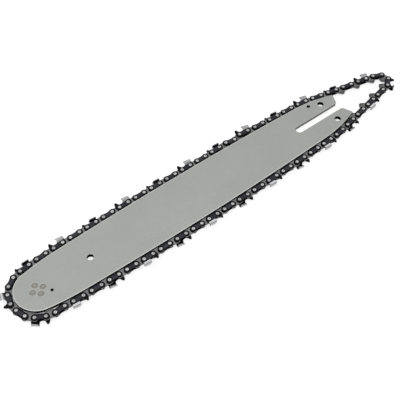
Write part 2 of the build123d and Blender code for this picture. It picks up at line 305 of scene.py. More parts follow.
def arc(centre: Vector, radius: float, start: float, end: float, steps: int) -> list[Vector]:
    """Points along an arc in the plane of the plates.

    Args:
        centre: Middle of the arc.
        radius: Radius of the arc.
        start: Angle of the first point, in degrees.
        end: Angle of the last point, in degrees.
        steps: Number of steps between them.

    Returns:
        The points, both ends included.
    """
    angles = [math.radians(start + (end - start) * step / steps) for step in range(steps + 1)]
    return [centre + radius * at(math.cos(angle), math.sin(angle)) for angle in angles]


def cut_plate(name: str, outline: list[Vector], low: float, thick: float) -> Bench:
    """Make a flat plate whose disc is pulled out to an outline and given its thickness.

    Args:
        name: Name of the new piece.
        outline: Corners of the plate, counter-clockwise.
        low: Height of the plate's lower face.
        thick: Thickness of the plate.

    Returns:
        A bench with the plate on it.
    """
    bench = Bench.disc(name, len(outline), BLANK_RADIUS, low)
    for corner, place in enumerate(outline):
        bench.pull(corner, Vector((place.x, place.y, low)))
    bench.pick_all().extrude(thick)
    return bench.face_outwards()


def lay_copies(master: Mesh, places: list[Matrix], name: str) -> Mesh:
    """Copy a master to each of its places and join the copies into one piece.

    Args:
        master: The modelled shape, at the origin.
        places: Where each copy goes.
        name: Name of the joined piece.

    Returns:
        The joined piece, with its place in its mesh.
    """
    copies = []
    for place in places:
        copy = master.copy()
        copy.data = master.data.copy()
        copy.data.transform(place)
        bpy.context.scene.collection.objects.link(copy)
        copies.append(copy)
    bpy.ops.object.select_all(action="DESELECT")
    for copy in copies:
        copy.select_set(True)
    bpy.context.view_layer.objects.active = copies[0]
    if len(copies) > 1:
        bpy.ops.object.join()
    copies[0].name = name
    copies[0].data.name = name
    return copies[0]


def hand_over(piece: Mesh, node: str) -> None:
    """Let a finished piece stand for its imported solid.

    Args:
        piece: The finished piece.
        node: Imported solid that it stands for.
    """
    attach(piece, BODY)
    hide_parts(node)
    log.info("%s stands for %s, %d faces", piece.name, node, len(piece.data.polygons))


class Wiring:
    """Node tree, with the steps that the finishes and the studio share."""

    def __init__(self, tree: bpy.types.NodeTree) -> None:
        """Take hold of the tree of a material or of the world."""
        self.nodes = tree.nodes
        self.links = tree.links

    def feed(self, value: Socket | float | Colour, socket: Socket) -> None:
        """Link a socket, or set it to a plain value.

        Args:
            value: Another node's socket, a number or a colour.
            socket: The socket that takes it.
        """
        if isinstance(value, Socket):
            self.links.new(value, socket)
        elif isinstance(value, tuple):
            socket.default_value = (*value, 1.0)
        else:
            socket.default_value = value

    def where(self, kind: str) -> Socket:
        """Coordinates of a kind, as the node names them."""
        return self.nodes.new("ShaderNodeTexCoord").outputs[kind]

    def split(self, vector: Socket, axis: str) -> Socket:
        """Take one axis of a vector.

        Args:
            vector: The vector.
            axis: Name of the axis.

        Returns:
            Its number along that axis.
        """
        parts = self.nodes.new("ShaderNodeSeparateXYZ")
        self.links.new(vector, parts.inputs["Vector"])
        return parts.outputs[axis]

    def spread(
        self, value: Socket, low: float, high: float, to_low: Socket | float, to_high: Socket | float
    ) -> Socket:
        """Map one range of a value smoothly to another.

        Args:
            value: The value.
            low: Start of its range.
            high: End of its range.
            to_low: What the start becomes.
            to_high: What the end becomes.

        Returns:
            The mapped value.
        """
        node = self.nodes.new("ShaderNodeMapRange")
        node.interpolation_type = "SMOOTHSTEP"
        self.feed(value, node.inputs["Value"])
        self.feed(low, node.inputs["From Min"])
        self.feed(high, node.inputs["From Max"])
        self.feed(to_low, node.inputs["To Min"])
        self.feed(to_high, node.inputs["To Max"])
        return node.outputs["Result"]

    def reckon(self, step: str, first: Socket | float, second: Socket | float = 0.0) -> Socket:
        """One step of arithmetic.

        Args:
            step: Name of the step, as the math node has it.
            first: First value.
            second: Second value.

        Returns:
            The result.
        """
        node = self.nodes.new("ShaderNodeMath")
        node.operation = step
        self.feed(first, node.inputs[0])
        self.feed(second, node.inputs[1])
        return node.outputs[0]

    def blend(self, share: Socket | float, first: Socket | Colour, second: Socket | Colour) -> Socket:
        """Blend two colours.

        Args:
            share: Share of the second one.
            first: First colour.
            second: Second colour.

        Returns:
            The blended colour.
        """
        node = self.nodes.new("ShaderNodeMix")
        node.data_type = "RGBA"
        self.feed(share, node.inputs[MIX_SHARE])
        self.feed(first, node.inputs[MIX_FIRST])
        self.feed(second, node.inputs[MIX_SECOND])
        return node.outputs[MIX_COLOUR]

    def openness(self, reach: float, inside: bool) -> Socket:
        """How open the surface lies.

        Args:
            reach: How far off other surfaces count.
            inside: Whether to look into the piece itself, and not at what stands round it.

        Returns:
            The open share, from 0 to 1.
        """
        node = self.nodes.new("ShaderNodeAmbientOcclusion")
        node.inside = inside
        node.only_local = inside
        node.samples = OPEN_SAMPLES
        node.inputs["Distance"].default_value = reach
        return node.outputs["AO"]


class Recipe(Wiring):
    """Node tree of one material."""

    def __init__(self, name: str) -> None:
        """Start a material with its shader.

        Args:
            name: Name of the material.
        """
        self.material = bpy.data.materials.new(name)
        self.material.use_nodes = True
        super().__init__(self.material.node_tree)
        self.shader = self.nodes["Principled BSDF"].inputs

    def noise(self, size: float, detail: float, stretch: Place = (1, 1, 1)) -> Socket:
        """Soft noise over the piece.

        Args:
            size: Size of its patches, in metres.
            detail: How many finer layers it has.
            stretch: How many times finer it is along each axis.

        Returns:
            Its strength, from 0 to 1.
        """
        mapping = self.nodes.new("ShaderNodeMapping")
        mapping.inputs["Scale"].default_value = stretch
        self.links.new(self.where("Object"), mapping.inputs["Vector"])
        texture = self.nodes.new("ShaderNodeTexNoise")
        texture.inputs["Scale"].default_value = 1 / size
        texture.inputs["Detail"].default_value = detail
        self.links.new(mapping.outputs["Vector"], texture.inputs["Vector"])
        return texture.outputs["Fac"]

    def along(self, axis: str) -> Socket:
        """Place along one axis of the shared frame, in metres."""
        return self.split(self.where("Object"), axis)

    def flatness(self) -> Socket:
        """How level the surface lies: 1 on the flat faces and 0 on upright walls."""
        normal = self.nodes.new("ShaderNodeNewGeometry").outputs["Normal"]
        return self.reckon("ABSOLUTE", self.split(normal, "Z"))

    def plan(self) -> Socket:
        """Place on the piece's own plan.

        Returns:
            The place, in metres from the plan's middle.
        """
        where = self.nodes.new("ShaderNodeUVMap")
        where.uv_map = "plan"
        centred = self.nodes.new("ShaderNodeMapping")
        centred.inputs["Location"].default_value = (-PLAN_SPAN / 2, -PLAN_SPAN / 2, 0)
        centred.inputs["Scale"].default_value = (PLAN_SPAN, PLAN_SPAN, 0)
        self.links.new(where.outputs["UV"], centred.inputs["Vector"])
        return centred.outputs["Vector"]

    def plan_axis(self, axis: str) -> Socket:
        """Place on the piece's own plan, X along the rivet line or Y over it."""
        return self.split(self.plan(), axis)

    def plan_radius(self) -> Socket:
        """Distance from the middle of the piece's own plan.

        Returns:
            The distance, in metres.
        """
        node = self.nodes.new("ShaderNodeVectorMath")
        node.operation = "LENGTH"
        self.links.new(self.plan(), node.inputs[0])
        return node.outputs["Value"]

    def shade(self, colour: Socket | Colour, metal: Socket | float, rough: Socket | float) -> None:
        """Give the shader its tone and gloss. What isn't bare metal is matt.

        Args:
            colour: Its colour.
            metal: Its share of bare metal.
            rough: Its roughness.
        """
        self.feed(colour, self.shader["Base Color"])
        self.feed(metal, self.shader["Metallic"])
        self.feed(rough, self.shader["Roughness"])
        self.feed(0.0, self.shader["Specular IOR Level"])

    def bump(self, height: Socket, depth: float) -> None:
        """Raise the surface by a height.

        Args:
            height: Height, from 0 to 1.
            depth: Depth of the relief, in metres.
        """
        node = self.nodes.new("ShaderNodeBump")
        node.inputs["Distance"].default_value = depth
        self.links.new(height, node.inputs["Height"])
        self.links.new(node.outputs["Normal"], self.shader["Normal"])


@dataclass(frozen=True, kw_only=True)
class MetalFinish:
    """Steel surface with a tone for its flats, its broken edges and its walls."""

    name: str
    flat: Colour
    patch: Colour
    edge: Colour
    wall: Colour
    rough: Band
    matt_walls: bool = False
    patch_size: float = 20 * MM
    patch_detail: float = 4.0
    patch_band: Band = (0.3, 0.7)  # noise from plain flat to full patch
    grain_size: float = 0.6 * MM
    grain_detail: float = 3.0
    grain_stretch: Place = (1, 1, 1)
    grain_band: Band = (0.35, 0.75)  # noise from no grain to its full share
    grain_share: float = 0.3
    grain_tone: float = 0.3
    grain_depth: float = 0.01 * MM
    rough_band: Band = (0.3, 0.7)  # noise from the low to the high roughness
    edge_band: Band = (0.9, 0.985)  # flatness from edge to flat
    wall_band: Band = (0.2, 0.5)  # flatness from wall to edge

    def marks(self, recipe: Recipe, tone: Socket) -> Socket:
        """Marks on the flats, blended into their tone. Plain steel has none."""
        return tone

    def sides(self, recipe: Recipe) -> Socket | Colour:
        """Tone of the walls. Plain steel has one for them all."""
        return self.wall

    def make(self) -> bpy.types.Material:
        """Make the material.

        Returns:
            The material.
        """
        recipe = Recipe(self.name)
        patches = recipe.spread(recipe.noise(self.patch_size, self.patch_detail), *self.patch_band, 0, 1)
        grain = recipe.noise(self.grain_size, self.grain_detail, self.grain_stretch)
        tone = recipe.blend(patches, self.flat, self.patch)
        darker = tuple(channel * (1 - self.grain_tone) for channel in self.flat)
        tone = recipe.blend(recipe.spread(grain, *self.grain_band, 0, self.grain_share), tone, darker)
        tone = self.marks(recipe, tone)
        level = recipe.flatness()
        tone = recipe.blend(recipe.spread(level, *self.edge_band, 1, 0), tone, self.edge)
        tone = recipe.blend(recipe.spread(level, *self.wall_band, 1, 0), tone, self.sides(recipe))
        metal = recipe.spread(level, *self.wall_band, 0, 1) if self.matt_walls else 1.0
        recipe.shade(tone, metal, recipe.spread(grain, *self.rough_band, *self.rough))
        recipe.bump(grain, self.grain_depth)
        return recipe.material


@dataclass(frozen=True, kw_only=True)
class SlotFinish(MetalFinish):
    """Steel whose walls carry painted shade, near black in the holes, and keep a plain grey in the stud slot.
    """

    slot_wall: Colour = (0.33, 0.33, 0.32)
    slot_start: float = 100 * MM
    slot_half: float = 6 * MM

    def sides(self, recipe: Recipe) -> Socket:
        """Tone of the walls.

        Args:
            recipe: The material.

        Returns:
            The tone, which is paler in the slot.
        """
        # the walls' near-black tone is painted shade; in the stud slot they keep a plain grey
        past = recipe.reckon("GREATER_THAN", recipe.along("X"), self.slot_start)
        beside = recipe.reckon("LESS_THAN", recipe.reckon("ABSOLUTE", recipe.along("Y")), self.slot_half)
        return recipe.blend(recipe.reckon("MULTIPLY", past, beside), self.wall, self.slot_wall)


@dataclass(frozen=True, kw_only=True)
class PlateFinish(SlotFinish):
    """Plate steel with a painted highlight along its rail edges and painted shade, near black, on its faces
    down in the groove.
    """

    nose: float
    middle: float
    # painted highlight along the rail edges, where the chamfer would catch the light
    bright: Colour
    bright_width: float
    bright_band: Band = (0.7, 0.97)  # openness from the painted highlight at the edge to the plain flat
    # painted shade for the plates' faces down in the groove
    inside: Colour
    inside_reach: float = 1.0 * MM
    rail_from: float = 20.8 * MM

    def rail(self, recipe: Recipe) -> Socket:
        """Where the rails run, along both sides and round the nose.

        Args:
            recipe: The material.

        Returns:
            1 there and 0 nearer to the bar's axis.
        """
        past_nose = recipe.reckon("MINIMUM", recipe.reckon("SUBTRACT", recipe.along("X"), self.nose))
        beside = recipe.along("Y")
        squares = [recipe.reckon("MULTIPLY", way, way) for way in (past_nose, beside)]
        return recipe.reckon("GREATER_THAN", recipe.reckon("ADD", *squares), self.rail_from**2)

    def marks(self, recipe: Recipe, tone: Socket) -> Socket:
        """Blend in the painted highlight along the rail edges and the painted shade on the faces in the
        groove.

        Args:
            recipe: The material.
            tone: Tone of the flats.

        Returns:
            The tone with both.
        """
        # painted highlight: within bright_width of the rail edges the tone goes bright
        near_edge = recipe.spread(recipe.openness(self.bright_width, True), *self.bright_band, 1, 0)
        tone = recipe.blend(recipe.reckon("MULTIPLY", near_edge, self.rail(recipe)), tone, self.bright)
        # painted shade: faces within inside_reach of the bar's middle, down in the groove, go near black
        depth = recipe.reckon("ABSOLUTE", recipe.reckon("SUBTRACT", recipe.along("Z"), self.middle))
        return recipe.blend(recipe.reckon("LESS_THAN", depth, self.inside_reach), tone, self.inside)


@dataclass(frozen=True, kw_only=True)
class LinkFinish(MetalFinish):
    """Link steel that is darker towards its foot, down between the side plates, and round its rivets: painted
    shade on oily steel.
    """

    shade_and_oil: Colour
    shade_and_oil_band: Band  # height over the rivet line from painted shade on oily steel to plain steel
    plain_half: float
    plain_fade: float = 1.2 * MM

    def marks(self, recipe: Recipe, tone: Socket) -> Socket:
        """Blend in the darkening: painted shade on oily steel.

        Args:
            recipe: The material.
            tone: Tone of the flats.

        Returns:
            The tone, darker at the foot and at the ends with painted shade on oily steel.
        """
        above = recipe.spread(recipe.plan_axis("Y"), *self.shade_and_oil_band, 0, 1)
        tone = recipe.blend(above, self.shade_and_oil, tone)
        side = recipe.reckon("ABSOLUTE", recipe.plan_axis("X"))
        past = recipe.spread(side, self.plain_half, self.plain_half + self.plain_fade, 0, 1)
        return recipe.blend(past, tone, self.shade_and_oil)


@dataclass(frozen=True, kw_only=True)
class RivetFinish(MetalFinish):
    """Rivet steel whose head carries painted light and shade: its own tone in the dimple and a darker rim."""

    dimple: Colour
    dimple_radius: float
    rim: Colour
    rim_radius: float
    blur: float = 0.25 * MM

    def marks(self, recipe: Recipe, tone: Socket) -> Socket:
        """Blend in the painted light and shade of the dimple and the rim.

        Args:
            recipe: The material.
            tone: Tone of the flats.

        Returns:
            The tone with the head's painted light and shade.
        """
        away = recipe.plan_radius()
        inside = recipe.spread(away, self.dimple_radius - self.blur, self.dimple_radius + self.blur, 0, 1)
        tone = recipe.blend(inside, self.dimple, tone)
        outside = recipe.spread(away, self.rim_radius - self.blur, self.rim_radius + self.blur, 0, 1)
        return recipe.blend(outside, tone, self.rim)


PLATE_STEEL = PlateFinish(
    name="satin_plate_steel",
    flat=(0.46, 0.471, 0.452),
    patch=(0.44, 0.451, 0.434),
    # painted highlight on the chamfers and rounded edges of the plates
    edge=(0.9, 0.91, 0.89),
    # painted shade: near-black matt walls in the holes and down the rails' sides
    wall=(0.006, 0.006, 0.006),
    matt_walls=True,
    rough=(0.36, 0.46),
    patch_size=45 * MM,
    grain_size=6 * MM,
    grain_stretch=(1, 22, 22),
    grain_tone=0.08,
    grain_depth=0.004 * MM,
    nose=middle_of("bearing_race").x,
    middle=middle_of("core_plate").z,
    # painted highlight along the rails
    bright=(0.9, 0.91, 0.89),
    bright_width=1.2 * MM,
    # painted shade in the groove
    inside=(0.008, 0.0078, 0.0072),
)
# near black: painted shade on the core, seen down the groove and through the holes
CORE_STEEL = SlotFinish(
    name="painted_shade_core_steel",
    flat=(0.02, 0.0195, 0.018),
    patch=(0.012, 0.0115, 0.01),
    edge=(0.02, 0.0195, 0.018),
    wall=(0.006, 0.0059, 0.0055),
    matt_walls=True,
    rough=(0.4, 0.6),
)
# near black: painted shade on the sprocket inside the bar, seen through its holes
SPROCKET_STEEL = MetalFinish(
    name="painted_shade_sprocket_steel",
    flat=(0.02, 0.0195, 0.018),
    patch=(0.012, 0.0115, 0.01),
    edge=(0.06, 0.06, 0.057),
    wall=(0.05, 0.049, 0.045),
    rough=(0.3, 0.45),
    patch_size=6 * MM,
)
BEARING_STEEL = MetalFinish(
    name="bearing_steel",
    flat=(0.3, 0.3, 0.29),
    patch=(0.24, 0.24, 0.23),
    edge=(0.4, 0.4, 0.39),
    wall=(0.35, 0.35, 0.34),
    rough=(0.15, 0.25),
    patch_size=4 * MM,
)
NOSE_RIVET_STEEL = RivetFinish(
    name="nose_rivet_steel",
    flat=(0.31, 0.305, 0.278),
    patch=(0.265, 0.26, 0.235),
    edge=(0.22, 0.217, 0.197),
    wall=(0.03, 0.029, 0.026),
    rough=(0.3, 0.42),
    patch_size=2.5 * MM,
    grain_size=0.5 * MM,
    # painted light and shade of a domed head: a lighter dimple and a darker rim
    dimple=(0.34, 0.335, 0.308),
    dimple_radius=1.5 * MM,
    rim=(0.22, 0.217, 0.197),
    rim_radius=2.7 * MM,
    blur=0.4 * MM,
)
STRAP_STEEL = LinkFinish(
    name="blued_strap_steel",
    flat=(0.056, 0.0575, 0.064),
    patch=(0.036, 0.036, 0.044),
    # painted shade: near-black edges and matt walls along the strap's sides
    edge=(0.01, 0.01, 0.012),
    wall=(0.004, 0.004, 0.005),
    matt_walls=True,
    rough=(0.28, 0.42),
    patch_size=16 * MM,
    # painted shade on oily steel, at the foot and round the rivets
    shade_and_oil=(0.012, 0.012, 0.013),
    shade_and_oil_band=(-3.0 * MM, -1.3 * MM),
    plain_half=2.2 * MM,
)
GAUGE_STEEL = replace(
    STRAP_STEEL,
    name="blued_cutter_steel",
    flat=(0.05, 0.0515, 0.058),
    patch=(0.032, 0.032, 0.04),
    patch_size=12 * MM,
)
DRIVE_LINK_STEEL = LinkFinish(
    name="bright_drive_link_steel",
    flat=(0.25, 0.25, 0.255),
    patch=(0.19, 0.19, 0.2),
    edge=(0.12, 0.12, 0.125),
    wall=(0.5, 0.5, 0.505),
    matt_walls=True,
    rough=(0.28, 0.4),
    patch_size=9 * MM,
    # painted shade on oily steel, towards the tang's tip
    shade_and_oil=(0.1, 0.099, 0.095),
    shade_and_oil_band=(-7.0 * MM, -1.5 * MM),
    plain_half=8.0 * MM,
)
CHAIN_RIVET_STEEL = RivetFinish(
    name="spun_rivet_steel",
    flat=(0.85, 0.85, 0.855),
    patch=(0.44, 0.44, 0.45),
    edge=(0.3, 0.3, 0.31),
    wall=(0.01, 0.01, 0.0105),
    matt_walls=True,
    rough=(0.2, 0.3),
    patch_size=9 * MM,
    grain_size=0.3 * MM,
    edge_band=(0.8, 0.97),
    wall_band=(0.35, 0.75),
    # painted shade: a dark dimple and a dark ring round the bright head, with near-black matt walls
    dimple=(0.14, 0.14, 0.145),
    dimple_radius=0.55 * MM,
    rim=(0.07, 0.07, 0.074),
    rim_radius=1.42 * MM,
)
CHROME = MetalFinish(
    name="chromed_tooth",
    flat=(0.66, 0.665, 0.675),
    patch=(0.58, 0.585, 0.595),
    edge=(0.66, 0.665, 0.675),
    wall=(0.5, 0.503, 0.51),
    rough=(0.1, 0.18),
    patch_size=8 * MM,
    grain_tone=0.06,
    grain_depth=0.002 * MM,
    edge_band=(0.75, 0.985),
)
TOP_PLATE = MetalFinish(
    name="ground_top_plate",
    flat=(0.45, 0.45, 0.455),
    patch=(0.38, 0.38, 0.385),
    edge=(0.42, 0.42, 0.425),
    wall=(0.46, 0.462, 0.468),
    rough=(0.2, 0.32),
    patch_size=8 * MM,
    grain_size=0.4 * MM,
)
# near black: painted shade on the faces inside the tooth
TOOTH_INSIDE = MetalFinish(
    name="painted_shade_tooth_inside",
    flat=(0.01, 0.01, 0.0105),
    patch=(0.006, 0.006, 0.006),
    edge=(0.01, 0.01, 0.0105),
    wall=(0.006, 0.006, 0.006),
    rough=(0.35, 0.5),
    patch_size=4 * MM,
)
FILED_EDGE = MetalFinish(
    name="filed_cutting_edge",
    flat=(0.6, 0.6, 0.6),
    patch=(0.5, 0.5, 0.5),
    edge=(0.3, 0.3, 0.3),
    wall=(0.2, 0.2, 0.2),
    rough=(0.18, 0.28),
    patch_size=3 * MM,
    grain_size=0.15 * MM,
)
CUTTER_FINISHES = {
    CutterFinish.GAUGE: GAUGE_STEEL,
    CutterFinish.CHROME: CHROME,
    CutterFinish.TOP: TOP_PLATE,
    CutterFinish.INSIDE: TOOTH_INSIDE,
    CutterFinish.FILED: FILED_EDGE,
}


@dataclass(frozen=True)
class Rivet:
    """A rivet with two heads alike, upright about its own middle."""

    name: str
    shank: float
    head: tuple[Step, ...]  # heights are over the shank's end
    dish: float
    dip: float
    corners: int
    soft_angle: float

    def model(self, half: float, finish: RivetFinish) -> Mesh:
        """Model the rivet.

        Args:
            half: Half the length of the shank.
            finish: Its finish.

        Returns:
            The rivet, at the origin.
        """
        bench = Bench.disc(self.name, self.corners, self.shank, -half)
        bench.pick_all().extrude(2 * half)
        bench.face_outwards()
        for side in (1, -1):
            bench.pick_end(side, side * half)
            radius, height = self.shank, 0.0
            for wide, high in self.head:
                bench.extrude(side * (high - height))
                bench.widen(wide / radius)
                radius, height = wide, high
            bpy.ops.mesh.inset(thickness=self.dish, depth=-self.dip)
            bpy.ops.object.mode_set(mode="OBJECT")
        bench.face_outwards()
        bench.map_plan()
        bench.piece.data.materials.append(finish.make())
        bpy.ops.object.shade_smooth_by_angle(angle=math.radians(self.soft_angle))
        return bench.piece


@dataclass(frozen=True)
class Link:
    """One link of the chain: its middle, its turn, its stretch and what it is."""

    middle: Vector
    turn: float
    run: Run
    kind: LinkKind
    node: str = ""

    def place(self, height: float) -> Matrix:
        """Place of the link at a height, with X back along the chain and Y outwards."""
        spot = Vector((self.middle.x, self.middle.y, height))
        return Matrix.Translation(spot) @ Matrix.Rotation(self.turn, 4, "Z")


@dataclass
class ChainLine:
    """Rivets and links of the closed chain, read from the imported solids."""

    nodes: dict[str, Mesh]
    strap_pitch: float
    drive_pitch: float
    rivet_span: float = 4.4 * MM
    nose: Vector = field(init=False)
    tail: float = field(init=False)

    def __post_init__(self) -> None:
        """Read where the bar's nose turns and where its tail ends."""
        self.nose = middle_of("bearing_race")
        self.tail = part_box("front_side_plate")[1].x

    def rivets_of(self, run: Run) -> list[Vector]:
        """Middles of the rivets in one stretch of the chain.

        Args:
            run: The stretch.

        Returns:
            Their places in the plane of the bar.
        """
        left = [vertex.co.to_2d() for vertex in self.nodes[f"chain_rivets_{run.value}"].data.vertices]
        middles = []
        while left:
            first = left[0]
            own = [point for point in left if (point - first).length < self.rivet_span]
            left = [point for point in left if (point - first).length >= self.rivet_span]
            x = [point.x for point in own]
            y = [point.y for point in own]
            middles.append(Vector(((min(x) + max(x)) / 2, (min(y) + max(y)) / 2)))
        return middles

    def walk(self) -> list[Vector]:
        """Follow the chain from rivet to rivet.

        Returns:
            All rivets in the order that the chain travels, from the tail over the upper run to the nose.
        """
        left = [middle for run in Run for middle in self.rivets_of(run)]
        here = max(left, key=lambda rivet: rivet.y)
        order = [here]
        left.remove(here)
        pitch = self.strap_pitch
        while left:
            here = min(left, key=lambda rivet: abs((rivet - order[-1]).length - pitch))
            left.remove(here)
            order.append(here)
            pitch = self.drive_pitch if pitch == self.strap_pitch else self.strap_pitch
        if order[1].x > order[0].x:
            order.reverse()
        return order

    def links(self) -> list[Link]:
        """Find out what each link is.

        Returns:
            All links in the order that the chain travels.
        """
        order = self.walk()
        halfway = (self.strap_pitch + self.drive_pitch) / 2
        links = []
        for start, end in zip(order, order[1:] + order[:1]):
            back = start - end
            middle = (start + end) / 2
            kind = LinkKind.TIE if back.length > halfway else LinkKind.DRIVE
            links.append(Link(middle, math.atan2(back.y, back.x), self.run_of(middle), kind))
        ties = [number for number, link in enumerate(links) if link.kind is LinkKind.TIE]
        for kind in (LinkKind.FRONT_CUTTER, LinkKind.BACK_CUTTER):
            for name in sorted(node for node in self.nodes if node.startswith(kind.value)):
                middle = middle_of(name).to_2d()
                number = min(ties, key=lambda tie: (links[tie].middle - middle).length)
                links[number] = replace(links[number], kind=kind, node=name)
        return links

    def run_of(self, spot: Vector) -> Run:
        """Stretch of the chain that a link lies in.

        Args:
            spot: Middle of the link.

        Returns:
            The stretch.
        """
        if spot.x < self.nose.x:
            return Run.NOSE
        if spot.x > self.tail:
            return Run.TAIL_LOOP
        near_nose = spot.x < (self.nose.x + self.tail) / 2
        if spot.y > self.nose.y:
            return Run.UPPER_NOSE if near_nose else Run.UPPER_TAIL
        return Run.LOWER_NOSE if near_nose else Run.LOWER_TAIL


@dataclass
class GuideBar:
    """The laminated bar: side plates, core, nose sprocket, its bearing and its rivets."""

    nodes: dict[str, Mesh]
    bar_half: float = 1.925 * MM
    rivet_circle: float = 5.4 * MM
    rivet_count: int = 4
    rivet: Rivet = Rivet(
        name="nose_rivet_master",
        shank=1.6 * MM,
        head=((3.1 * MM, 0.7 * MM), (2.8 * MM, 0.8 * MM)),
        dish=0.9 * MM,
        dip=0.08 * MM,
        corners=36,
        soft_angle=40.0,
    )

    def dress(self) -> None:
        """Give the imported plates, core and bearing their finishes."""
        finishes = {
            "front_side_plate": PLATE_STEEL,
            "back_side_plate": PLATE_STEEL,
            "core_plate": CORE_STEEL,
            "nose_sprocket": SPROCKET_STEEL,
            "bearing_race": BEARING_STEEL,
            "bearing_rollers": BEARING_STEEL,
        }
        made = {finish.name: finish.make() for finish in finishes.values()}
        for node, finish in finishes.items():
            for slot in self.nodes[node].material_slots:
                slot.material = made[finish.name]
            log.info("%s keeps its solid, finish %s", node, finish.name)

    def set_rivets(self) -> None:
        """Set the rivets that hold the nose bearing, with their heads flush with the side plates."""
        sunk = self.rivet.head[-1][1]
        master = self.rivet.model(self.bar_half - sunk, NOSE_RIVET_STEEL)
        middle = Matrix.Translation(middle_of("nose_rivets"))
        out = Matrix.Translation((self.rivet_circle, 0, 0))
        turns = [2 * math.pi * number / self.rivet_count for number in range(self.rivet_count)]
        places = [middle @ Matrix.Rotation(turn, 4, "Z") @ out for turn in turns]
        piece = lay_copies(master, places, "nose_rivets_formed")
        bpy.data.objects.remove(master)
        hand_over(piece, "nose_rivets")

    def build(self) -> None:
        """Dress the bar and set its rivets."""
        self.dress()
        self.set_rivets()


